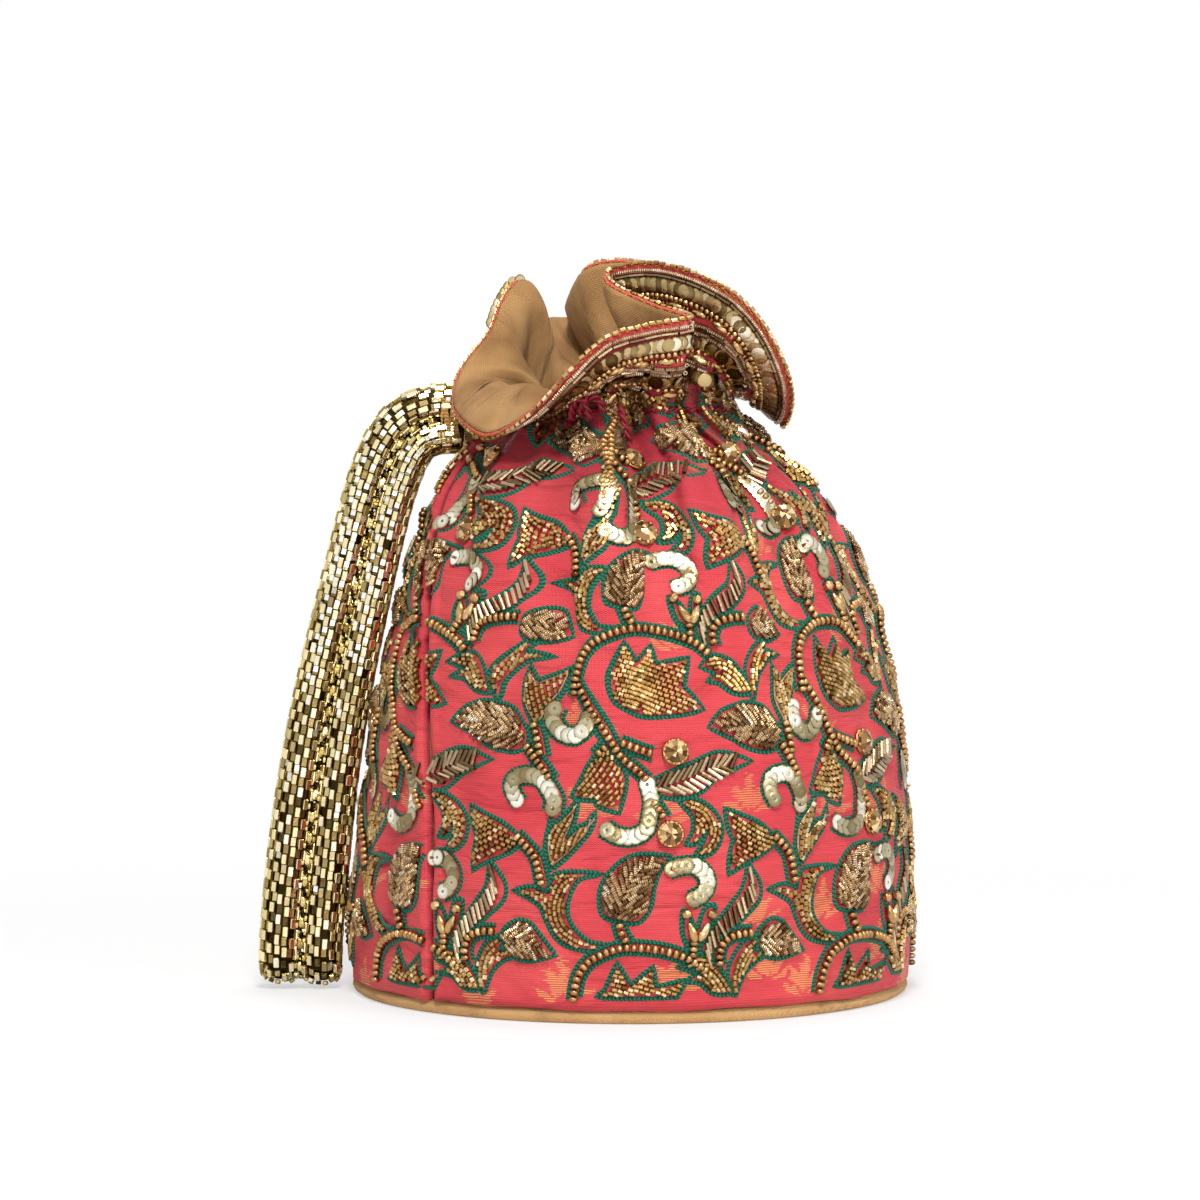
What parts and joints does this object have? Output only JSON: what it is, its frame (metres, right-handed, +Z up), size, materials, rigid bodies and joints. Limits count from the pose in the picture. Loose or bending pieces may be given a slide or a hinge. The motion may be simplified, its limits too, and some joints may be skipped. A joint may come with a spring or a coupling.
{
  "type": "potli bag",
  "caption": "Gathered round-bottomed silk pouch with a cinched neck, a ruffled mouth edged with beadwork and a hanging bead-mesh wrist strap.",
  "frame": {"origin": "centre of the round base, on the surface the bag stands on", "axes": "+Z up through the neck, -Y towards the front of the bag, +X to the right, with the strap hanging on the left"},
  "size_m": [0.1767, 0.1538, 0.2026],
  "materials": {
    "coral_silk": "satin brocade under couched beadwork",
    "tan_cotton": "matte plain weave",
    "grey_card": "matte pressed card",
    "crimson_satin": "satin",
    "antique_gold_beads": "antique gold",
    "gold_bead_mesh": "polished gold",
    "gold_thread": "metallic thread"
  },
  "bodies": {
    "root": {"front_panel": "coral_silk", "back_panel": "coral_silk", "lining": "tan_cotton", "lining_base": "tan_cotton", "base_cover": "tan_cotton", "base_board": "grey_card", "drawstring": "crimson_satin", "rim_piping": "coral_silk", "rim_trim": "antique_gold_beads", "handle": "gold_bead_mesh", "handle_tab_front": "gold_thread", "handle_tab_rear": "gold_thread"}
  },
  "joints": []
}
